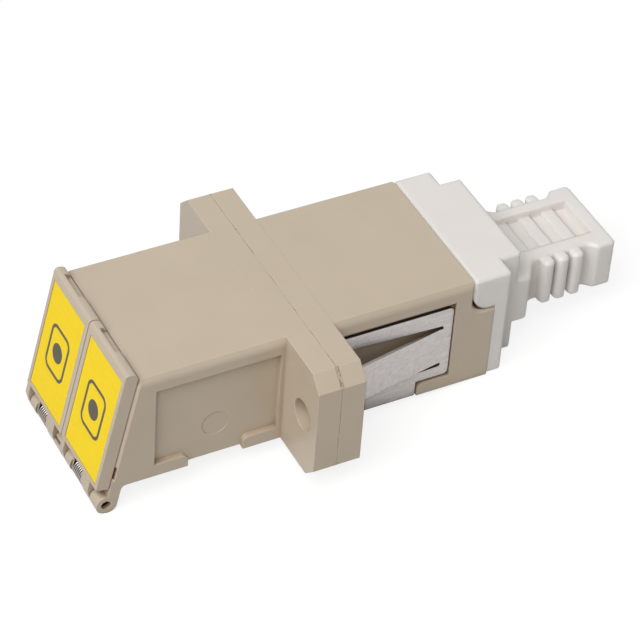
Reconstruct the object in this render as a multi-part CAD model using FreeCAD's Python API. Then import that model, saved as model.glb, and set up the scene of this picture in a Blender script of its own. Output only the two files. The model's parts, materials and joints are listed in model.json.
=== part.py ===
# Duplex fibre coupler: a body welded from two mouldings with a screw flange, two sprung shutters
# over the front ports, a folded panel clip round the rear half and a dust cap in the rear ports.
# X is the width, the shutters face -Y and +Z is up. The origin lies midway between the flange
# screws, on the flange face that meets the panel. All sizes are in millimetres.
import FreeCAD
import Part
import math
import os

V = FreeCAD.Vector

# Body and flange
body_w = 12.3
body_h = 9.2
rear_len = 12.9
front_len = 11.0
front_rake = 12.2
eased_edge_w = 0.28
eased_edge_h = 0.42
eased_edge_r = 0.8
front_chamfer = 0.2
rear_chamfer = 0.04
flange_w = 22.1
flange_t = 3.6
flange_chamfer = 1.1
flange_rise = 0.02
flange_drop = 0.1
weld_chamfer = 0.02
screw_edge = 2.05
screw_hole_d = 2.4

# Ports, and the barrels that hold the ferrule sleeves
port_size = 4.56
port_side_wall = 0.745
port_drop = 1.1
latch_w = 3.2
latch_h = 2.2
web_t = 1.5
ferrule_d = 1.25
sleeve_wall = 0.185
sleeve_len = 6.8
sleeve_slit = 0.25
sleeve_play = 0.03
sleeve_end_play = 0.1
barrel_wall = 0.55
barrel_lip = 0.5
lip_step = 0.11

# Shallow side pockets for the clip, on both halves
pocket_depth = 0.4
pocket_start = 0.35
pocket_rear_wall = 1.38
pocket_front_wall = 1.3
pocket_top_rim = 1.33
pocket_lip = 1.05
strip_start = 2.95
strip_gap_w = 4.2
strip_groove = 0.1
lip_end_r = 0.5
ejector_d = 2.0
ejector_depth = 0.05
ejector_from_flange = 5.0
ejector_drop = 1.68

# Notch across the top of the rear end
notch_len = 1.82
notch_depth = 2.82
notch_r = 1.02
notch_chamfer = 0.18

# Shutter hinge below the front
pin_d = 0.7
pin_below = 1.4
pin_inset = 0.35
pin_press = 0.005
pin_play = 0.04
ear_w = 0.91
end_ear_w = 1.18
ear_r = 0.72
ear_back = 0.85
ear_fillet = 0.4
hinge_gap = 0.05
knuckle_r = 0.72
knuckle_set_back = 0.05
outer_knuckle_w = 0.5
inner_knuckle_w = 1.2
pin_window_low = 0.06
pin_window_h = 0.25

# Shutters and their stickers
flap_t = 0.97
flap_seam = 0.08
flap_inset = 0.12
flap_low = 1.35
flap_rise = 0.6
flap_seat = 0.05
flap_front_r = 0.3
flap_back_r = 0.5
nail_notch_w = 2.6
nail_notch_h = 0.4
nail_notch_t = 0.62
nail_notch_shift = 0.85
pry_slot_low = 2.23
pry_slot_len = 1.07
pry_slot_w = 1.0
pry_slot_depth = 0.16
sticker_t = 0.08
sticker_sink = 0.12
sticker_play = 0.04
sticker_outer = 0.33
sticker_inner = 0.45
sticker_top = 0.82
sticker_bottom = 0.3

# Torsion springs on the hinge pin
wire_d = 0.14
coil_d = 1.24
coil_pitch = 0.2
coil_end_room = 0.25
wire_sides = 6
steps_per_turn = 8
spring_leg = 2.3
leg_slot = 0.3

# Folded panel clip
sheet_t = 0.25
clip_play = 0.04
clip_top_gap = 0.45
clip_low_gap = 0.2
clip_relief = 0.35
clip_end_play = 0.1
clip_corner_r = 0.35
clip_bend_r = 0.05
clip_end_bar = 0.7
clip_flange_bar = 0.6
tongue_h = 3.2
tongue_drop = 0.3
tongue_flare = 1.4
tongue_gap = 0.4
slit_w = 0.3
slit_taper = 0.35

# Dust cap: seat plate, neck block, ribbed finger tail and two plugs
cap_play = 0.015
lip_play = 0.17
lip_corner_r = 1.35
cap_plate_t = 1.15
cap_rise = 0.1
cap_bottom_inset = 0.03
cap_chamfer = 0.2
plug_play = 0.06
plug_len = 7.0
plug_bore_d = 3.0
plug_bore_depth = 6.0
neck_w = 9.14
neck_len = 1.65
neck_bottom_inset = 0.2
neck_chamfer = 0.2
shoulder_len = 1.0
shoulder_r = 0.5
tail_w = 5.9
tail_h = 4.05
tail_len = 8.8
tail_lift = 0.03
tail_chamfer = 0.2
waist_start = 2.1
waist_r = 0.7
bulb_w = 7.1
bulb_len = 2.1
bulb_corner_r = 0.4
rib_t = 0.94
rib_count = 3
rib_pitch = 1.22
rib_start = 3.2
rib_reach = 0.8
rib_short = 0.08
rib_chamfer = 0.2
grip_w = 3.8
grip_depth = 0.4
grip_front = 1.4
grip_back = 1.2
grip_r = 0.2
cell_count = 3
cell_len = 1.0
cell_depth = 0.28
rung_len = 0.97

# Places worked out from the sizes above
weld_y = -flange_t / 2
top_z = body_h / 2
bottom_z = -body_h / 2
side_x = body_w / 2
rake = math.radians(front_rake)
front_top_y = -flange_t - front_len
pin_y = front_top_y - (body_h + pin_below) * math.tan(rake)
pin_z = bottom_z - pin_below
screw_pitch = flange_w - 2 * screw_edge
port_pitch = body_w - 2 * port_side_wall - port_size
port_z = -port_drop
sleeve_r = ferrule_d / 2 + sleeve_wall
sleeve_bore_r = sleeve_r + sleeve_play
sleeve_reach = sleeve_len / 2 + sleeve_end_play
barrel_r = sleeve_bore_r + barrel_wall
pocket_top_z = top_z - pocket_top_rim
pocket_low_z = bottom_z + pocket_lip
pocket_x = side_x - pocket_depth
notch_y = rear_len - notch_len
rear_pocket_end = notch_y - pocket_rear_wall
front_pocket_end = front_len - pocket_front_wall
notch_z = top_z - notch_depth
flap_w = (body_w - flap_seam) / 2 - flap_inset
flap_top = (body_h + pin_below) / math.cos(rake) + flap_rise
flap_front = flap_seat + flap_t
knuckle_span = outer_knuckle_w + inner_knuckle_w + 2 * hinge_gap
spring_gap = side_x - flap_inset - knuckle_span - ear_w - end_ear_w
coil_turns = math.floor((spring_gap - 2 * hinge_gap - wire_d - coil_end_room) / coil_pitch) + 0.5
coil_lead = coil_pitch / (math.pi * coil_d)
PORTS = (-port_pitch / 2, port_pitch / 2)
SIDES = {"left": -1, "right": 1}


def rect(a0, a1, b0, b1, r=0.0):
    """Corners of a rectangle, each with the same rounding radius."""
    return [(a0, b0, r), (a1, b0, r), (a1, b1, r), (a0, b1, r)]


def mirrored(corners):
    """Corners down one side, followed by their mirror images back up the other."""
    return corners + [(-a, b, r) for a, b, r in reversed(corners)]


def outline(axis, corners, at):
    """Closed line through (a, b, corner radius) points, on the plane at a place along one axis."""
    place = {
        "x": lambda p: V(at, p.x, p.y),
        "y": lambda p: V(p.x, at, p.y),
        "z": lambda p: V(p.x, p.y, at),
    }[axis]
    stations = []
    for i, (a, b, r) in enumerate(corners):
        corner = V(a, b, 0)
        back = V(*corners[i - 1][:2], 0) - corner
        ahead = V(*corners[(i + 1) % len(corners)][:2], 0) - corner
        if r == 0:
            stations.append((corner, None, corner))
            continue
        half = back.getAngle(ahead) / 2
        inward = V(back).normalize() + V(ahead).normalize()
        tangent = r / math.tan(half)
        middle = corner + inward.normalize() * (r / math.sin(half) - r)
        enter = corner + V(back).normalize() * tangent
        leave = corner + V(ahead).normalize() * tangent
        stations.append((enter, middle, leave))
    edges = []
    for i, (enter, middle, leave) in enumerate(stations):
        previous = stations[i - 1][2]
        if previous.distanceToPoint(enter) > 1e-6:
            edges.append(Part.makeLine(place(previous), place(enter)))
        if middle is not None:
            edges.append(Part.Arc(place(enter), place(middle), place(leave)).toShape())
    return Part.Wire(edges)


def prism(axis, corners, start, end):
    """Solid drawn out along one axis from an outline."""
    along = {"x": V(1, 0, 0), "y": V(0, 1, 0), "z": V(0, 0, 1)}[axis]
    return Part.Face(outline(axis, corners, start)).extrude(along * (end - start))


def rod(radius, start, end):
    """Round bar between two points."""
    way = end - start
    return Part.makeCylinder(radius, way.Length, start, way)


def edges_where(shape, test):
    """Edges whose vertices all pass a test."""
    return [e for e in shape.Edges if all(test(v.Point) for v in e.Vertexes)]


def on_hinge(shape):
    """Moves a shape drawn upright about the pin axis to its raked place on the coupler."""
    shape.rotate(V(0, 0, 0), V(1, 0, 0), -front_rake)
    shape.translate(V(0, pin_y, pin_z))
    return shape


def hinge_stations(side):
    """Ends along X of one shutter's knuckles, of its ears and of the spring between them."""
    end = max(side, 0) * side_x
    outer_x = end - side_x + flap_inset
    ear_x = outer_x + outer_knuckle_w + hinge_gap
    inner_end = end - end_ear_w - hinge_gap
    outer = (outer_x, outer_x + outer_knuckle_w)
    inner = (inner_end - inner_knuckle_w, inner_end)
    ears = ((ear_x, ear_x + ear_w), (end - end_ear_w, end))
    return {"knuckles": (outer, inner), "ears": ears, "spring": (ear_x + ear_w, inner[0])}


def body_section(y0, y1):
    """Plain bar with the body's cross-section, square but for one eased top edge."""
    corners = [
        (side_x, bottom_z, 0),
        (side_x, top_z - eased_edge_h, eased_edge_r),
        (side_x - eased_edge_w, top_z, 0),
        (-side_x, top_z, 0),
        (-side_x, bottom_z, 0),
    ]
    return prism("y", corners, y0, y1)


def flange_half(way):
    """Half of the flange, with the edge at the weld line eased to leave a fine groove."""
    half_w = flange_w / 2
    c = flange_chamfer
    high = top_z + flange_rise
    low = bottom_z - flange_drop
    corners = mirrored([
        (half_w - c, low, 0),
        (half_w, low + c, 0),
        (half_w, high - c, 0),
        (half_w - c, high, 0),
    ])
    half = prism("y", corners, weld_y, weld_y + way * flange_t / 2)
    weld_edges = edges_where(half, lambda p: abs(p.y - weld_y) < 1e-6)
    return half.makeChamfer(weld_chamfer, weld_edges)


def port_tool(x, y0, y1):
    """Square plug hole with the narrower channel for the plug's latch above it."""
    half = port_size / 2
    square = prism("y", rect(x - half, x + half, port_z - half, port_z + half), y0, y1)
    roof = port_z + half
    latch = prism("y", rect(x - latch_w / 2, x + latch_w / 2, port_z, roof + latch_h), y0, y1)
    return square.fuse(latch)


def clip_pocket(way):
    """Tools that cut the side pockets and the strip's groove underneath."""
    def at(distance):
        return weld_y + way * (flange_t / 2 + distance)

    outer = side_x + 1
    far = at(rear_pocket_end if way > 0 else front_pocket_end)
    strip = (at(strip_start), at(strip_start + strip_gap_w))
    groove = prism("y", rect(-outer, outer, bottom_z - 1, pocket_low_z), *strip)
    core_low = bottom_z + strip_groove
    core = prism("y", rect(-pocket_x, pocket_x, core_low, top_z, clip_bend_r), *strip)
    tools = [groove.cut(core)]
    for side in SIDES.values():
        corners = [
            (at(pocket_start), pocket_top_z, 0),
            (far, pocket_top_z, 0),
            (far, pocket_low_z, 0),
            (at(strip_start + strip_gap_w), pocket_low_z, lip_end_r),
            (at(strip_start + strip_gap_w), pocket_low_z - 2 * lip_end_r, 0),
            (at(strip_start), pocket_low_z - 2 * lip_end_r, 0),
            (at(strip_start), pocket_low_z, lip_end_r),
            (at(pocket_start), pocket_low_z, 0),
        ]
        tools.append(prism("x", corners, side * pocket_x, side * outer))
    return tools


def fit_out(shell, way, mouth_y):
    """Cuts the ports, pockets and screw holes in one half, and leaves its two sleeve barrels."""
    web_y = weld_y + way * web_t
    barrel_end = weld_y + way * (sleeve_reach + barrel_lip)
    cuts = [port_tool(x, web_y, mouth_y) for x in PORTS] + clip_pocket(way)
    for x in (-screw_pitch / 2, screw_pitch / 2):
        cuts.append(rod(screw_hole_d / 2, V(x, weld_y - flange_t, 0), V(x, weld_y + flange_t, 0)))
    shell = shell.cut(cuts)
    shell = shell.fuse([rod(barrel_r, V(x, weld_y, port_z), V(x, barrel_end, port_z)) for x in PORTS])
    bores = []
    for x in PORTS:
        weld = V(x, weld_y, port_z)
        bores.append(rod(sleeve_bore_r, weld, V(x, weld_y + way * sleeve_reach, port_z)))
        bores.append(rod(ferrule_d / 2 + lip_step, weld, V(x, barrel_end + way, port_z)))
    return shell.cut(bores)


def hinge_ear(x0, x1):
    """One hinge ear, rounded round the pin and filleted into the underside of the body."""
    def lean(a, b):
        y = pin_y + a * math.cos(rake) + b * math.sin(rake)
        return y, pin_z - a * math.sin(rake) + b * math.cos(rake)

    back_foot = lean(ear_back, 0)
    foot_y = back_foot[0] + (bottom_z - back_foot[1]) * math.tan(rake)
    round_r = ear_r * 0.95
    corners = [
        (*lean(0, pin_below + ear_r), 0),
        (*lean(0, ear_r), 0),
        (*lean(-ear_r, ear_r), round_r),
        (*lean(-ear_r, -ear_r), round_r),
        (*lean(ear_back, -ear_r), round_r),
        (foot_y, bottom_z, ear_fillet),
        (foot_y + 2 * ear_fillet, bottom_z, 0),
        (foot_y + 2 * ear_fillet, bottom_z + ear_fillet, 0),
    ]
    return prism("x", corners, x0, x1)


def front_housing():
    """Front half: raked face, open ports, hinge ears below them and an ejector mark each side."""
    reach = pin_y - body_h
    bar = body_section(weld_y, reach)
    ahead = prism("x", rect(-4 * body_h, 0, -2 * body_h, 4 * body_h), -body_w, body_w)
    bar = bar.cut(on_hinge(ahead))

    def on_face(p):
        return abs(p.y - front_top_y - (p.z - top_z) * math.tan(rake)) < 1e-4

    bar = bar.makeChamfer(front_chamfer, edges_where(bar, on_face))
    shell = fit_out(bar.fuse(flange_half(-1)), -1, reach)
    for side in SIDES.values():
        shell = shell.fuse([hinge_ear(*ends) for ends in hinge_stations(side)["ears"]])
    window = rect(-2 * ear_r, 0, pin_window_low, pin_window_low + pin_window_h)
    slot = rect(-1, pry_slot_depth, pry_slot_low, pry_slot_low + pry_slot_len)
    cuts = [
        rod(pin_d / 2 + pin_press, V(-body_w, pin_y, pin_z), V(body_w, pin_y, pin_z)),
        on_hinge(prism("x", window, -end_ear_w - hinge_gap, hinge_gap)),
    ]
    for side in SIDES.values():
        cuts.append(on_hinge(prism("x", slot, side * (side_x - pry_slot_w), side * body_w)))
        mark = V(side * (pocket_x - ejector_depth), -flange_t - ejector_from_flange, -ejector_drop)
        cuts.append(rod(ejector_d / 2, mark, mark + V(side, 0, 0)))
    return shell.cut(cuts).removeSplitter()


def rear_housing():
    """Rear half: open ports, a deep slot over the clip, and a notch in the end for the dust cap's lip."""
    bar = body_section(weld_y, rear_len)
    bar = bar.makeChamfer(rear_chamfer, edges_where(bar, lambda p: abs(p.y - rear_len) < 1e-6))
    shell = fit_out(bar.fuse(flange_half(1)), 1, rear_len + 1)

    def notch(grow):
        low_y, low_z = notch_y - grow, notch_z - grow
        far = rear_len + 1
        return [(low_y, top_z + 1, 0), (far, top_z + 1, 0), (far, low_z, 0), (low_y, low_z, notch_r + grow)]

    cuts = [prism("x", notch(0), -body_w, body_w)]
    slot = rect(pocket_start, rear_pocket_end, pocket_top_z - clip_top_gap, pocket_top_z)
    for side in SIDES.values():
        cuts.append(prism("x", slot, side * (pocket_x - clip_relief), side * body_w))
        inner = outline("x", notch(0), side * (side_x - notch_chamfer))
        outer = outline("x", notch(2 * notch_chamfer), side * (side_x + notch_chamfer))
        cuts.append(Part.makeLoft([inner, outer], True, True))
    return shell.cut(cuts).removeSplitter()


def split_sleeve(x):
    """Slit ceramic tube that lines up two ferrules, loose in the barrels of both halves."""
    ends = (V(x, weld_y - sleeve_len / 2, port_z), V(x, weld_y + sleeve_len / 2, port_z))
    tube = rod(sleeve_r, *ends).cut(rod(ferrule_d / 2, *ends))
    slit = rect(x - sleeve_slit / 2, x + sleeve_slit / 2, port_z, port_z + 2 * sleeve_r)
    return tube.cut(prism("y", slit, ends[0].y, ends[1].y))


def hinge_pin():
    """Straight pin through the ears, its ends set in from the sides of the body."""
    end_x = side_x - pin_inset
    return rod(pin_d / 2, V(-end_x, pin_y, pin_z), V(end_x, pin_y, pin_z))


def spring_ends(side):
    """X at the coil's two ends: the fixed leg's end, then the end of the leg on the shutter."""
    gap = hinge_stations(side)["spring"]
    fixed = gap[1] - 2 * hinge_gap - wire_d / 2
    return fixed, fixed - coil_pitch * coil_turns


def sticker_area(side, margin):
    """Corners of the sticker's field on a shutter, taken in by a margin."""
    inner = side * (flap_seam / 2 + sticker_inner + margin)
    outer = side * (flap_seam / 2 + flap_w - sticker_outer - margin)
    return rect(inner, outer, flap_low + sticker_bottom + margin, flap_top - sticker_top - margin)


def shutter(side):
    """Flap with a sunk field for its sticker, a fingernail notch and two knuckles on the pin."""
    inner = side * flap_seam / 2
    outer = inner + side * flap_w
    profile = [
        (-flap_front, flap_low, 0),
        (-flap_front, flap_top, flap_front_r),
        (-flap_seat, flap_top, flap_back_r),
        (-flap_seat, flap_low, 0),
    ]
    plate = prism("x", profile, inner, outer)
    k = knuckle_r
    web_top = flap_low + flap_t / 4
    knuckle = [
        (knuckle_set_back - flap_front, web_top, 0),
        (knuckle_set_back - flap_front, 0.55 * k, k),
        (-0.62 * k, -k, 0.7 * k),
        (k, -k, 0.97 * k),
        (k, k, 0.97 * k),
        (-flap_seat, k, 0),
        (-flap_seat, web_top, 0),
    ]
    flap = plate.fuse([prism("x", knuckle, *ends) for ends in hinge_stations(side)["knuckles"]])
    notch_x = (inner + outer) / 2 - nail_notch_shift
    notch_w = nail_notch_w / 2
    notch = rect(notch_x - notch_w, notch_x + notch_w, flap_top - nail_notch_h, flap_top + 1)
    leg_x = spring_ends(side)[1] - coil_lead * (flap_low + spring_leg) / 2
    slot = rect(leg_x - leg_slot / 2, leg_x + leg_slot / 2, 0, spring_leg + leg_slot / 2)
    cuts = [
        prism("y", sticker_area(side, 0), -flap_front - 1, sticker_sink - flap_front),
        prism("y", notch, -flap_seat - nail_notch_t, 1),
        prism("y", slot, -(coil_d + leg_slot) / 2, -(coil_d - leg_slot) / 2),
        rod(pin_d / 2 + pin_play, V(-body_w, 0, 0), V(body_w, 0, 0)),
    ]
    return on_hinge(flap.cut(cuts).removeSplitter())


def sticker(side):
    """Thin sticker in the shutter's sunk field."""
    back = sticker_sink - flap_front
    return on_hinge(prism("y", sticker_area(side, sticker_play), back - sticker_t, back))


def torsion_spring(side):
    """Coil on the pin, one leg up to the body's underside and one in a slot in the shutter."""
    mean_r = coil_d / 2

    def section(turns, ahead):
        """Outline of the wire at a place on the coil, or ahead of it along a straight leg."""
        angle = 2 * math.pi * turns
        out = V(math.cos(angle), math.sin(angle), 0)
        along = V(-math.sin(angle), math.cos(angle), coil_lead)
        centre = out * mean_r + V(0, 0, coil_pitch * turns) + along * ahead
        corners = []
        for i in range(wire_sides):
            around = 2 * math.pi * i / wire_sides
            radial = out * math.cos(around) + V(0, 0, 1) * math.sin(around)
            corners.append(centre + radial * wire_d / 2)
        return Part.makePolygon(corners + corners[:1])

    stop = (pin_below + mean_r * math.sin(rake)) / math.cos(rake) - wire_d / 2
    steps = round(coil_turns * steps_per_turn)
    coil = [section(i * coil_turns / steps, 0) for i in range(steps + 1)]
    spring = Part.makeLoft([section(0, -stop)] + coil + [section(coil_turns, spring_leg)], True, True)
    across = FreeCAD.Rotation(V(0, 1, 0), V(0, 0, -1), V(-1, 0, 0), "XYZ")
    spring.Placement = FreeCAD.Placement(V(spring_ends(side)[0], 0, 0), across)
    return on_hinge(spring)


def panel_clip():
    """One strip of sheet folded under the body, with a slit plate and a sprung tongue each side."""
    x_in = pocket_x + clip_play
    x_out = x_in + sheet_t
    floor_z = bottom_z + strip_groove - clip_play
    y0 = pocket_start + clip_end_play
    y1 = rear_pocket_end - clip_end_play
    z0 = pocket_low_z + clip_low_gap
    z1 = pocket_top_z - clip_top_gap
    bend_r = clip_bend_r + sheet_t
    fold = mirrored([
        (x_in, z0 + bend_r, 0),
        (x_out, z0 + bend_r, 0),
        (x_out, floor_z - sheet_t, bend_r),
    ])
    inside = mirrored([(x_in, z0 + bend_r, 0), (x_in, floor_z, clip_bend_r)])
    strip = (strip_start + clip_end_play, strip_start + strip_gap_w - clip_end_play)
    clip = prism("y", fold, *strip).cut(prism("y", inside, *strip))
    tongue_z = (z0 + z1) / 2 - tongue_drop
    low, high = tongue_z - tongue_h / 2, tongue_z + tongue_h / 2
    root_y = y1 - clip_end_bar
    free_y = y0 + clip_flange_bar
    bend_y = root_y - sheet_t
    window = [
        (root_y, high + slit_w, slit_w * 0.45),
        (root_y, low - slit_w, slit_w * 0.45),
        (free_y, low - slit_w - slit_taper, slit_w),
        (free_y, high + slit_w + slit_taper, slit_w),
    ]
    tip_y = free_y + tongue_gap
    for side in SIDES.values():
        plate = prism("x", rect(y0, y1, z0, z1, clip_corner_r), side * x_in, side * x_out)
        opening = prism("x", window, side * (x_in - 1), side * (x_out + 1))
        tongue = [
            (side * x_in, root_y + sheet_t, 0),
            (side * x_out, root_y + sheet_t, 0),
            (side * x_out, bend_y, sheet_t),
            (side * (x_out + tongue_flare), tip_y, 0),
            (side * (x_in + tongue_flare), tip_y, 0),
            (side * x_in, bend_y, 2 * sheet_t),
        ]
        clip = clip.fuse([plate.cut(opening), prism("z", tongue, low, high)])
    return clip.removeSplitter()


def cap_tail(neck_y):
    """Finger tail: shoulders behind the neck, a ribbed waist, an end bulb and a grip on top."""
    low = tail_lift - tail_h / 2
    high = low + tail_h
    waist = tail_w / 2
    end_y = neck_y + tail_len
    swell = bulb_w / 2 - waist
    tail = prism("z", mirrored([
        (neck_w / 2, neck_y - neck_len / 2, 0),
        (neck_w / 2, neck_y + shoulder_len, shoulder_r),
        (waist, neck_y + waist_start, waist_r),
        (waist, end_y - bulb_len, swell),
        (bulb_w / 2, end_y - bulb_len + swell, swell * 2 / 3),
        (bulb_w / 2, end_y, bulb_corner_r),
    ]), low, high)
    tail = tail.makeChamfer(tail_chamfer, edges_where(tail, lambda p: p.z > high - 1e-6))
    tail = tail.makeChamfer(tail_chamfer, edges_where(tail, lambda p: p.z < low + 1e-6))
    reach = waist + rib_reach
    rib_low = low + rib_short
    rib_high = high - rib_short
    for i in range(rib_count):
        start = neck_y + rib_start + i * rib_pitch - rib_t / 2
        rib = prism("z", rect(-reach, reach, start, start + rib_t, rib_t * 0.45), rib_low, rib_high)
        for end_z in (rib_low, rib_high):
            rib = rib.makeChamfer(rib_chamfer, edges_where(rib, lambda p: abs(p.z - end_z) < 1e-6))
        tail = tail.fuse(rib)
    first = neck_y + grip_front
    last = end_y - grip_back
    half = grip_w / 2
    cuts = [prism("z", rect(-half, half, first, last, grip_r), high - grip_depth, high + 1)]
    for i in range(cell_count):
        end = last - i * (cell_len + rung_len)
        cell = rect(-half, half, end - cell_len, end)
        cuts.append(prism("z", cell, high - grip_depth - cell_depth, high))
    return tail.cut(cuts)


def dust_cap():
    """Cap in one moulding: a lip in the notch, a plate over the end, plugs, neck and tail."""
    seat_y = rear_len + cap_play
    plate_y = seat_y + cap_plate_t
    neck_y = plate_y + neck_len
    high = top_z + cap_rise
    low = bottom_z + cap_bottom_inset
    lip_y = notch_y + cap_play
    lip_z = notch_z + lip_play
    head = prism("x", [
        (lip_y, high, 0),
        (plate_y, high, 0),
        (plate_y, low, 0),
        (seat_y, low, 0),
        (seat_y, lip_z, 0),
        (lip_y, lip_z, lip_corner_r),
    ], -side_x, side_x)
    envelope = prism("y", rect(-side_x, side_x, low, high), lip_y, plate_y)
    head = head.common(envelope.makeChamfer(cap_chamfer, envelope.Edges))
    neck_low = low + neck_bottom_inset
    neck = prism("y", rect(-neck_w / 2, neck_w / 2, neck_low, high), seat_y, neck_y)
    cap = head.fuse([neck.makeChamfer(neck_chamfer, neck.Edges), cap_tail(neck_y)])
    half = port_size / 2 - plug_play
    for x in PORTS:
        tip = V(x, seat_y - plug_len, port_z)
        square = rect(x - half, x + half, port_z - half, port_z + half)
        plug = prism("y", square, tip.y, seat_y + cap_plate_t / 2)
        cap = cap.fuse(plug).cut(rod(plug_bore_d / 2, tip, tip + V(0, plug_bore_depth, 0)))
    return cap.removeSplitter()


parts = {
    "front_housing": front_housing(),
    "rear_housing": rear_housing(),
    "hinge_pin": hinge_pin(),
    "panel_clip": panel_clip(),
    "dust_cap": dust_cap(),
}
for name, side in SIDES.items():
    parts["split_sleeve_" + name] = split_sleeve(side * port_pitch / 2)
    parts["shutter_" + name] = shutter(side)
    parts["sticker_" + name] = sticker(side)
    parts["torsion_spring_" + name] = torsion_spring(side)

os.makedirs("parts", exist_ok=True)
for name, shape in parts.items():
    shape.exportStep(os.path.join("parts", name + ".step"))
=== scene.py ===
# Looks of the duplex fibre coupler: materials for its moulded, folded and drawn pieces, round-wire
# springs in place of the faceted CAD ones, a pale floor, soft studio light and the photograph's view.
import json
import math

import bpy
from mathutils import Matrix, Vector


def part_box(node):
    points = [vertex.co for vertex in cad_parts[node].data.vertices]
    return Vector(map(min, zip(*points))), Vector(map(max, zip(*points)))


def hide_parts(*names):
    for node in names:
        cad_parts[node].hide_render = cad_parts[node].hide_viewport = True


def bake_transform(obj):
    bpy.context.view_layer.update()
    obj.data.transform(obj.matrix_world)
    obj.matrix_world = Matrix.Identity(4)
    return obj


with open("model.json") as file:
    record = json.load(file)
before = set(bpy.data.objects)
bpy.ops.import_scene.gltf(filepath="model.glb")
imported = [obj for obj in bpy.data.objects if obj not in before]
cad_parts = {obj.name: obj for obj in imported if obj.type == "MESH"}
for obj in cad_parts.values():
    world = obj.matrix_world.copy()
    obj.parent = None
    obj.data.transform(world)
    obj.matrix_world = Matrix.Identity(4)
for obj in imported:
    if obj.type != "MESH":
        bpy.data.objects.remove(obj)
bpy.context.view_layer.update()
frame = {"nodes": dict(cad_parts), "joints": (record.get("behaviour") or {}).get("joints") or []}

MM = 0.001

# Sizes of the coupler that the looks need, in millimetres and degrees
shutter_rake = 12.2
weld_line_y = -1.8
weld_line_w = 0.085
weld_bead_at = (10.5, 1.8, 4.07)
weld_bead_w = 0.3
weld_bead_full = 0.75
weld_bead_end = 0.95
wire_d = 0.14
wire_roundness = 3
coil_d = 1.24
coil_pitch = 0.2
coil_turns = 8.5
coil_steps = 32
fixed_leg = 1.49
shutter_leg = 2.3

# The mark printed on each sticker: the outline of a port with a round spot in it
mark_w = 2.7
mark_h = 3.5
mark_corner_r = 0.6
mark_line = 0.26
mark_spot_d = 1.5

# The view: a point on the lens axis, the angles round it, and a lens for the sensor's width in mm
view_aim = Vector((0.894, 1.830, 0.151)) * MM
view_azimuth = math.radians(60.21)
view_elevation = math.radians(41.40)
view_roll = math.radians(4.40)
view_distance = 206.58 * MM
view_nearest = 1 * MM
view_lens = 164.57
view_sensor = 36

# The coupler lies on its hinge ears and on the lower edge of its dust cap
ear_rest = Vector((0, -16.4, -6.75)) * MM
rear_rest = Vector((0, 13.86, -4.57)) * MM
floor_size = 3.0
floor_glow = 0.84

# Light: how bright each lamp alone makes a white card that faces it, and the even light all round
lamps = {
    "key_softbox": {"from": (0.27, -0.50, 0.72), "away": 440, "size": 330, "share": 0.92},
    "back_softbox": {"from": (-0.35, 0.80, 0.48), "away": 360, "size": 220, "share": 0.10},
}
room_light = 0.285


def linear(hex_colour):
    """Linear RGBA of an sRGB hex colour."""
    parts = [int(hex_colour[i:i + 2], 16) / 255 for i in (1, 3, 5)]
    rgb = [p / 12.92 if p <= 0.04045 else ((p + 0.055) / 1.055) ** 2.4 for p in parts]
    return (*rgb, 1.0)


def scale_of(size_mm):
    """Scale of a pattern whose features are this size."""
    return 1 / (size_mm * MM)


def node(tree, kind, values=None, links=None, **settings):
    """Adds a node with its settings, its socket values and its links from other nodes' outputs."""
    made = tree.nodes.new(kind)
    for name, value in settings.items():
        setattr(made, name, value)
    for socket, value in (values or {}).items():
        made.inputs[socket].default_value = value
    for socket, source in (links or {}).items():
        tree.links.new(source, made.inputs[socket])
    return made


def new_material(name):
    """Empty node material with its output, and the place on the piece as a texture coordinate."""
    material = bpy.data.materials.new(name)
    material.use_nodes = True
    tree = material.node_tree
    tree.nodes.clear()
    output = node(tree, "ShaderNodeOutputMaterial")
    place = node(tree, "ShaderNodeTexCoord").outputs["Object"]
    return material, tree, output.inputs["Surface"], place


def dress(material, *names):
    """Gives CAD nodes a material."""
    for name in names:
        mesh = frame["nodes"][name].data
        mesh.materials.clear()
        mesh.materials.append(material)


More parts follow.
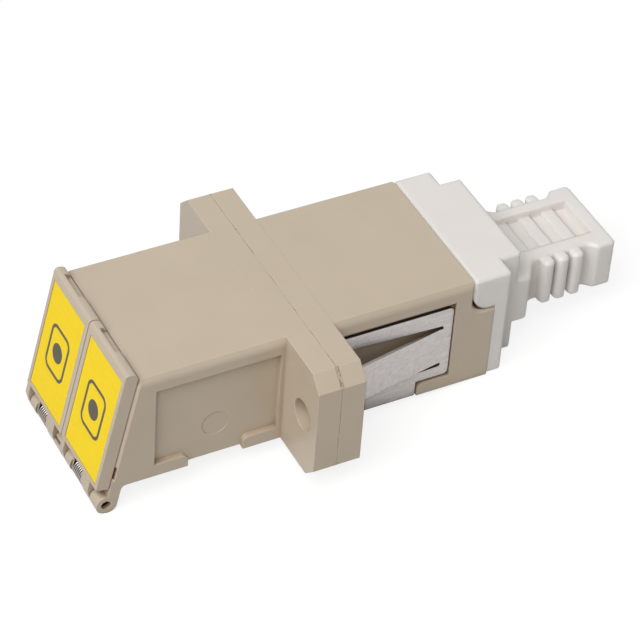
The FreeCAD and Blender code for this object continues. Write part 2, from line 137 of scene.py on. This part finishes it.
def weld_seam(tree, place, body):
    """Body colour with the melted seam between the two halves: a broken line, a little darker than the
    body, that swells into uneven burnt drops at the corners of the flange."""
    gap_mm = 1.1
    drop_mm = 0.22
    y = node(tree, "ShaderNodeSeparateXYZ", links={"Vector": place}).outputs["Y"]
    off = node(tree, "ShaderNodeMath", {1: weld_line_y * MM}, {0: y}, operation="SUBTRACT")
    away = node(tree, "ShaderNodeMath", links={0: off.outputs[0]}, operation="ABSOLUTE")
    gaps = node(tree, "ShaderNodeTexNoise", {"Scale": scale_of(gap_mm), "Detail": 3.0}, {"Vector": place})
    line = node(tree, "ShaderNodeMapRange",
                {"From Min": 0.42, "From Max": 0.66, "To Max": weld_line_w / 2 * MM},
                {"Value": gaps.outputs["Fac"]})
    drops = node(tree, "ShaderNodeTexNoise", {"Scale": scale_of(drop_mm), "Detail": 1.0}, {"Vector": place})
    mirrored = node(tree, "ShaderNodeVectorMath", links={0: place}, operation="ABSOLUTE")
    corner = node(tree, "ShaderNodeVectorMath", {1: Vector(weld_bead_at) * MM},
                  {0: mirrored.outputs["Vector"]}, operation="DISTANCE")
    proud = node(tree, "ShaderNodeMapRange",
                 {"From Min": weld_bead_end * MM, "From Max": weld_bead_full * MM,
                  "To Max": weld_bead_w * MM},
                 {"Value": corner.outputs["Value"]})
    width = node(tree, "ShaderNodeMath",
                 links={0: proud.outputs["Result"], 1: drops.outputs["Fac"], 2: line.outputs["Result"]},
                 operation="MULTIPLY_ADD")
    seam = node(tree, "ShaderNodeMath", links={0: away.outputs[0], 1: width.outputs[0]},
                operation="LESS_THAN")
    burnt = node(tree, "ShaderNodeMapRange", {"From Min": 0.4, "From Max": 0.6},
                 {"Value": drops.outputs["Fac"]})
    bead = node(tree, "ShaderNodeMix", {"A": linear("#857259"), "B": linear("#b8a88f")},
                {"Factor": burnt.outputs["Result"]}, data_type="RGBA")
    melted = node(tree, "ShaderNodeMix",
                  links={"Factor": seam.outputs[0], "A": body, "B": bead.outputs["Result"]},
                  data_type="RGBA")
    return melted.outputs["Result"]


def moulded_pbt():
    """PBT moulded in a spark-eroded tool: an even satin with a fine grain and a faint cloudiness, which
    takes a soft reflection of the floor at a low angle. Edges get a painted highlight, nooks painted shade."""
    material, tree, surface, place = new_material("moulded_pbt_spark_eroded")
    cloud_mm = 4.0
    grain_mm = 0.12  # coarser than the real grain, so that it shows
    grain_depth_mm = 0.01
    edge_mm = 0.09
    painted_shade_reach_mm = 1.5
    grain = node(tree, "ShaderNodeTexNoise", {"Scale": scale_of(grain_mm), "Detail": 2.0},
                 {"Vector": place})
    cloud = node(tree, "ShaderNodeTexNoise", {"Scale": scale_of(cloud_mm), "Detail": 3.0},
                 {"Vector": place})
    body = node(tree, "ShaderNodeMix", {"A": linear("#bfb09b"), "B": linear("#c8b9a4")},
                {"Factor": cloud.outputs["Fac"]}, data_type="RGBA")
    melted = weld_seam(tree, place, body.outputs["Result"])
    edge = node(tree, "ShaderNodeBevel", {"Radius": edge_mm * MM}, samples=6)
    flat = node(tree, "ShaderNodeNewGeometry").outputs["Normal"]
    turn = node(tree, "ShaderNodeVectorMath", links={0: edge.outputs["Normal"], 1: flat},
                operation="DISTANCE")
    # painted highlight: edges are lightened toward pale beige where the bevel normal turns away from the
    # flat one
    painted_edge_highlight = node(tree, "ShaderNodeMapRange", {"From Min": 0.05, "From Max": 0.6, "To Max": 0.5},
                  {"Value": turn.outputs["Value"]})
    with_painted_edge_highlight = node(tree, "ShaderNodeMix", {"B": linear("#e2d6c3")},
                {"Factor": painted_edge_highlight.outputs["Result"], "A": melted}, data_type="RGBA")
    # painted shade: nooks, gaps and inner corners are darkened toward brown where occlusion is found
    occlusion_for_painted_shade = node(tree, "ShaderNodeAmbientOcclusion", {"Distance": painted_shade_reach_mm * MM}, samples=8)
    clear = node(tree, "ShaderNodeMapRange", {"From Min": 0.0, "From Max": 0.7},
                 {"Value": occlusion_for_painted_shade.outputs["AO"]})
    pbt_with_painted_shade = node(tree, "ShaderNodeMix", {"A": linear("#8a6849")},
                 {"Factor": clear.outputs["Result"], "B": with_painted_edge_highlight.outputs["Result"]}, data_type="RGBA")
    bump = node(tree, "ShaderNodeBump", {"Strength": 0.25, "Distance": grain_depth_mm * MM},
                {"Height": grain.outputs["Fac"], "Normal": edge.outputs["Normal"]})
    shader = node(tree, "ShaderNodeBsdfPrincipled",
                  {"Roughness": 0.28, "IOR": 1.5, "Specular IOR Level": 0.5},
                  {"Base Color": pbt_with_painted_shade.outputs["Result"], "Normal": bump.outputs["Normal"]})
    tree.links.new(shader.outputs["BSDF"], surface)
    return material


def moulded_polypropylene():
    """White polypropylene from a vapour-honed tool: soft satin, slightly see-through at thin edges."""
    material, tree, surface, place = new_material("moulded_polypropylene_white")
    flow_mm = 5.0
    grain_mm = 0.2  # coarser than the real grain, so that it shows
    grain_depth_mm = 0.01
    edge_mm = 0.25
    scatter_mm = 1.0
    flow = node(tree, "ShaderNodeTexNoise", {"Scale": scale_of(flow_mm), "Detail": 2.0}, {"Vector": place})
    grain = node(tree, "ShaderNodeTexNoise", {"Scale": scale_of(grain_mm), "Detail": 1.0},
                 {"Vector": place})
    body = node(tree, "ShaderNodeMix", {"A": linear("#e3ded9"), "B": linear("#eae5e0")},
                {"Factor": flow.outputs["Fac"]}, data_type="RGBA")
    edge = node(tree, "ShaderNodeBevel", {"Radius": edge_mm * MM}, samples=6)
    bump = node(tree, "ShaderNodeBump", {"Strength": 0.15, "Distance": grain_depth_mm * MM},
                {"Height": grain.outputs["Fac"], "Normal": edge.outputs["Normal"]})
    shader = node(tree, "ShaderNodeBsdfPrincipled",
                  {"Roughness": 0.42, "IOR": 1.49, "Specular IOR Level": 0.5, "Subsurface Weight": 0.4,
                   "Subsurface Radius": (1.0, 1.0, 1.0), "Subsurface Scale": scatter_mm * MM},
                  {"Base Color": body.outputs["Result"], "Normal": bump.outputs["Normal"]})
    tree.links.new(shader.outputs["BSDF"], surface)
    return material


def rolled_steel():
    """Cold-rolled spring steel strip: bright, with fine streaks along the strip that blur reflections.
    Folds and covered parts are darkened with painted shade."""
    material, tree, surface, place = new_material("spring_steel_cold_rolled")
    streak_mm = 0.12  # coarser than the real streaks, so that they show
    streak_len_mm = 4.0
    streak_depth_mm = 0.004
    blotch_mm = 0.3
    edge_mm = 0.04
    painted_shade_reach_mm = 1.5
    along = node(tree, "ShaderNodeMapping",
                 {"Scale": (scale_of(streak_mm), scale_of(streak_len_mm), scale_of(streak_mm))},
                 {"Vector": place})
    streaks = node(tree, "ShaderNodeTexNoise", {"Scale": 1.0, "Detail": 3.0},
                   {"Vector": along.outputs["Vector"]})
    blotch = node(tree, "ShaderNodeTexNoise", {"Scale": scale_of(blotch_mm), "Detail": 4.0},
                  {"Vector": place})
    both = node(tree, "ShaderNodeMath", links={0: streaks.outputs["Fac"], 1: blotch.outputs["Fac"]},
                operation="ADD")
    blend = node(tree, "ShaderNodeMapRange", {"From Min": 0.4, "From Max": 1.6},
                 {"Value": both.outputs[0]})
    tone = node(tree, "ShaderNodeMix", {"A": linear("#b4aeab"), "B": linear("#d8d4d2")},
                {"Factor": blend.outputs["Result"]}, data_type="RGBA")
    rough = node(tree, "ShaderNodeMapRange", {"To Min": 0.38, "To Max": 0.5},
                 {"Value": blotch.outputs["Fac"]})
    edge = node(tree, "ShaderNodeBevel", {"Radius": edge_mm * MM}, samples=4)
    bump = node(tree, "ShaderNodeBump", {"Strength": 0.12, "Distance": streak_depth_mm * MM},
                {"Height": streaks.outputs["Fac"], "Normal": edge.outputs["Normal"]})
    # painted shade: folds and the plate under the tongue are darkened toward grey-brown where occlusion is
    # found
    occlusion_for_painted_shade = node(tree, "ShaderNodeAmbientOcclusion", {"Distance": painted_shade_reach_mm * MM}, samples=8)
    clear = node(tree, "ShaderNodeMapRange", {"From Min": 0.35, "From Max": 0.95},
                 {"Value": occlusion_for_painted_shade.outputs["AO"]})
    steel_with_painted_shade = node(tree, "ShaderNodeMix", {"A": linear("#70675f")},
                   {"Factor": clear.outputs["Result"], "B": tone.outputs["Result"]}, data_type="RGBA")
    shader = node(tree, "ShaderNodeBsdfPrincipled", {"Metallic": 1.0},
                  {"Base Color": steel_with_painted_shade.outputs["Result"], "Roughness": rough.outputs["Result"],
                   "Normal": bump.outputs["Normal"]})
    tree.links.new(shader.outputs["BSDF"], surface)
    return material


def drawn_wire(name, dark, pale, roughness):
    """Steel drawn through a die or ground round: smooth, with soft highlights along it and a little oil
    staining."""
    material, tree, surface, place = new_material(name)
    stain_mm = 0.3
    stain = node(tree, "ShaderNodeTexNoise", {"Scale": scale_of(stain_mm), "Detail": 2.0},
                 {"Vector": place})
    tone = node(tree, "ShaderNodeMix", {"A": linear(dark), "B": linear(pale)},
                {"Factor": stain.outputs["Fac"]}, data_type="RGBA")
    shader = node(tree, "ShaderNodeBsdfPrincipled", {"Metallic": 1.0, "Roughness": roughness},
                  {"Base Color": tone.outputs["Result"]})
    tree.links.new(shader.outputs["BSDF"], surface)
    return material


def fired_zirconia():
    """Zirconia ceramic, ground after firing: dense white with a soft polish."""
    material, tree, surface, place = new_material("zirconia_fired_and_ground")
    speck_mm = 0.4
    speck = node(tree, "ShaderNodeTexNoise", {"Scale": scale_of(speck_mm)}, {"Vector": place})
    tone = node(tree, "ShaderNodeMix", {"A": linear("#e6e3dc"), "B": linear("#f0eee8")},
                {"Factor": speck.outputs["Fac"]}, data_type="RGBA")
    shader = node(tree, "ShaderNodeBsdfPrincipled", {"Roughness": 0.25, "IOR": 2.1},
                  {"Base Color": tone.outputs["Result"]})
    tree.links.new(shader.outputs["BSDF"], surface)
    return material


def port_mark(tree, place, side):
    """Where a sticker is inked: 1 on the mark's outline and its spot, 0 elsewhere."""
    any_depth = 100
    low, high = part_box("sticker_" + side)
    flat = node(tree, "ShaderNodeMapping",
                {"Location": (low + high) / 2, "Rotation": (-math.radians(shutter_rake), 0, 0),
                 "Scale": (MM, MM, MM)},
                {"Vector": place}, vector_type="TEXTURE")
    across = node(tree, "ShaderNodeVectorMath", links={0: flat.outputs["Vector"]}, operation="ABSOLUTE")
    inner_half = Vector((mark_w / 2 - mark_corner_r, any_depth, mark_h / 2 - mark_corner_r))
    past = node(tree, "ShaderNodeVectorMath", {1: inner_half}, {0: across.outputs["Vector"]},
                operation="SUBTRACT")
    corner = node(tree, "ShaderNodeVectorMath", {1: (0, 0, 0)}, {0: past.outputs["Vector"]},
                  operation="MAXIMUM")
    reach = node(tree, "ShaderNodeVectorMath", links={0: corner.outputs["Vector"]}, operation="LENGTH")
    line = node(tree, "ShaderNodeMath", {1: mark_corner_r, 2: mark_line / 2}, {0: reach.outputs["Value"]},
                operation="COMPARE")
    on_face = node(tree, "ShaderNodeVectorMath", {1: (1, 0, 1)}, {0: flat.outputs["Vector"]},
                   operation="MULTIPLY")
    radius = node(tree, "ShaderNodeVectorMath", links={0: on_face.outputs["Vector"]}, operation="LENGTH")
    spot = node(tree, "ShaderNodeMath", {1: mark_spot_d / 2}, {0: radius.outputs["Value"]},
                operation="LESS_THAN")
    ink = node(tree, "ShaderNodeMath", links={0: line.outputs[0], 1: spot.outputs[0]}, operation="MAXIMUM")
    return ink.outputs[0]


def printed_vinyl(side):
    """Yellow vinyl film printed in one dark ink: a smooth satin, faintly speckled, with slight waves from
    being pressed on."""
    material, tree, surface, place = new_material("vinyl_film_printed_" + side)
    wave_mm = 1.6
    wave_depth_mm = 0.01
    speckle_mm = 0.28
    wave = node(tree, "ShaderNodeTexNoise", {"Scale": scale_of(wave_mm), "Detail": 1.0}, {"Vector": place})
    speckle = node(tree, "ShaderNodeTexNoise", {"Scale": scale_of(speckle_mm), "Detail": 2.0},
                   {"Vector": place})
    film = node(tree, "ShaderNodeMix", {"A": linear("#ffd302"), "B": linear("#ffe60c")},
                {"Factor": speckle.outputs["Fac"]}, data_type="RGBA")
    inked = node(tree, "ShaderNodeMix", {"B": linear("#5d564b")},
                 {"Factor": port_mark(tree, place, side), "A": film.outputs["Result"]}, data_type="RGBA")
    bump = node(tree, "ShaderNodeBump", {"Strength": 0.2, "Distance": wave_depth_mm * MM},
                {"Height": wave.outputs["Fac"]})
    shader = node(tree, "ShaderNodeBsdfPrincipled",
                  {"Roughness": 0.45, "IOR": 1.5, "Specular IOR Level": 0.2},
                  {"Base Color": inked.outputs["Result"], "Normal": bump.outputs["Normal"]})
    tree.links.new(shader.outputs["BSDF"], surface)
    return material


def round_wire_spring(side, material):
    """Spring of round wire that stands for the faceted CAD one."""
    joint = next(j for j in frame["joints"] if j["name"] == "shutter_" + side + "_hinge")
    pin = Vector(joint["pos_m"])
    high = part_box("torsion_spring_" + side)[1]
    lead = coil_pitch / (math.pi * coil_d)
    fixed_x = high.x - (lead * fixed_leg + wire_d / 2) * MM
    lean = Matrix.Rotation(-math.radians(shutter_rake), 3, "X")

    def on_coil(turns, ahead):
        """Point on the wire after so many turns, and so far ahead of that along a straight leg."""
        angle = 2 * math.pi * turns
        y = coil_d / 2 * math.cos(angle) - ahead * math.sin(angle)
        z = -coil_d / 2 * math.sin(angle) - ahead * math.cos(angle)
        x = -coil_pitch * turns - lead * ahead
        return Vector((fixed_x, pin.y, pin.z)) + lean @ Vector((x, y, z)) * MM

    count = round(coil_turns * coil_steps)
    route = [on_coil(0, -fixed_leg)]
    route += [on_coil(i / coil_steps, 0) for i in range(count + 1)]
    route.append(on_coil(coil_turns, shutter_leg))
    curve = bpy.data.curves.new("wire_route_" + side, "CURVE")
    curve.dimensions = "3D"
    curve.bevel_depth = wire_d / 2 * MM
    curve.bevel_resolution = wire_roundness
    curve.use_fill_caps = True
    spline = curve.splines.new("POLY")
    spline.points.add(len(route) - 1)
    for point, place in zip(spline.points, route):
        point.co = (*place, 1)
    path = bpy.data.objects.new("wire_path_" + side, curve)
    mesh = bpy.data.meshes.new_from_object(path)
    bpy.data.objects.remove(path)
    mesh.shade_smooth()
    mesh.materials.clear()
    mesh.materials.append(material)
    spring = bpy.data.objects.new("round_wire_spring_" + side, mesh)
    bpy.context.scene.collection.objects.link(spring)
    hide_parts("torsion_spring_" + side)
    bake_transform(spring)


def pale_floor():
    """Plain white floor under the ears and the cap. The camera sees it near white with the soft shadow
    on it, shiny surfaces see a white sheet, and other light meets a pale one."""
    slope = rear_rest - ear_rest
    tilt = Matrix.Rotation(math.atan2(slope.z, slope.y), 4, "X")
    half = floor_size / 2
    corners = [(-half, -half, 0), (half, -half, 0), (half, half, 0), (-half, half, 0)]
    mesh = bpy.data.meshes.new("floor")
    mesh.from_pydata(corners, [], [(0, 1, 2, 3)])
    floor = bpy.data.objects.new("floor", mesh)
    floor.matrix_world = Matrix.Translation(ear_rest) @ tilt
    bpy.context.scene.collection.objects.link(floor)
    material, tree, surface, _ = new_material("painted_board")
    ray = node(tree, "ShaderNodeLightPath").outputs
    seen = node(tree, "ShaderNodeMath", links={0: ray["Is Camera Ray"], 1: ray["Is Transmission Ray"]},
                operation="MAXIMUM")
    tone = node(tree, "ShaderNodeMix", {"A": linear("#b8b8b8"), "B": linear("#f4f4f4")},
                {"Factor": ray["Is Glossy Ray"]}, data_type="RGBA")
    sheet = node(tree, "ShaderNodeBsdfDiffuse", links={"Color": tone.outputs["Result"]})
    shade = node(tree, "ShaderNodeBsdfDiffuse", {"Color": linear("#7a7a7a")})
    glow = node(tree, "ShaderNodeEmission", {"Color": linear("#ffffff"), "Strength": floor_glow})
    bright = node(tree, "ShaderNodeAddShader", links={0: shade.outputs[0], 1: glow.outputs[0]})
    mixed = node(tree, "ShaderNodeMixShader",
                 links={0: seen.outputs[0], 1: sheet.outputs[0], 2: bright.outputs[0]})
    tree.links.new(mixed.outputs[0], surface)
    mesh.materials.append(material)


def studio_light():
    """Large soft lamps, and even light from a white room."""
    for name, lamp in lamps.items():
        light = bpy.data.lights.new(name, "AREA")
        away = lamp["away"] * MM
        light.size = lamp["size"] * MM
        light.energy = lamp["share"] * (math.pi * away) ** 2
        holder = bpy.data.objects.new(name, light)
        way = Vector(lamp["from"]).normalized()
        facing = way.to_track_quat("Z", "Y").to_matrix().to_4x4()
        holder.matrix_world = Matrix.Translation(way * away) @ facing
        bpy.context.scene.collection.objects.link(holder)
    world = bpy.data.worlds.new("white_room")
    bpy.context.scene.world = world
    world.use_nodes = True
    tree = world.node_tree
    tree.nodes.clear()
    ray = node(tree, "ShaderNodeLightPath").outputs
    room = node(tree, "ShaderNodeBackground", {"Color": linear("#ffffff"), "Strength": room_light})
    backdrop = node(tree, "ShaderNodeBackground", {"Color": linear("#ffffff"), "Strength": 1.0})
    shiny = node(tree, "ShaderNodeMath", links={0: ray["Is Camera Ray"], 1: ray["Is Glossy Ray"]},
                 operation="MAXIMUM")
    seen = node(tree, "ShaderNodeMath", links={0: shiny.outputs[0], 1: ray["Is Transmission Ray"]},
                operation="MAXIMUM")
    mixed = node(tree, "ShaderNodeMixShader",
                 links={0: seen.outputs[0], 1: room.outputs[0], 2: backdrop.outputs[0]})
    node(tree, "ShaderNodeOutputWorld", links={"Surface": mixed.outputs[0]})


def photograph_view():
    """Camera at the photograph's angle, distance and roll."""
    camera = bpy.data.cameras.new("photograph_view")
    camera.sensor_width = view_sensor
    camera.lens = view_lens
    camera.clip_start = view_nearest
    holder = bpy.data.objects.new("photograph_view", camera)
    flat = math.cos(view_elevation)
    way = Vector((math.sin(view_azimuth) * flat, -math.cos(view_azimuth) * flat,
                  math.sin(view_elevation)))
    level = way.to_track_quat("Z", "Y").to_matrix().to_4x4()
    stand = Matrix.Translation(view_aim + way * view_distance)
    holder.matrix_world = stand @ level @ Matrix.Rotation(view_roll, 4, "Z")
    bpy.context.scene.collection.objects.link(holder)
    bpy.context.scene.camera = holder


spring_wire = drawn_wire("spring_wire_drawn", "#9a918d", "#bab2ae", 0.18)
dress(moulded_pbt(), "front_housing", "rear_housing", "shutter_left", "shutter_right")
dress(moulded_polypropylene(), "dust_cap")
dress(rolled_steel(), "panel_clip")
# The pin is coloured near black as painted shade in its bores and in the gaps between the spring coils.
dress(drawn_wire("hinge_steel_dark_as_painted_shade", "#26211f", "#3a3431", 0.4), "hinge_pin")
dress(fired_zirconia(), "split_sleeve_left", "split_sleeve_right")
for side in ("left", "right"):
    dress(printed_vinyl(side), "sticker_" + side)
    dress(spring_wire, "torsion_spring_" + side)
    round_wire_spring(side, spring_wire)

pale_floor()
studio_light()
photograph_view()
bpy.context.scene.view_settings.view_transform = "Standard"
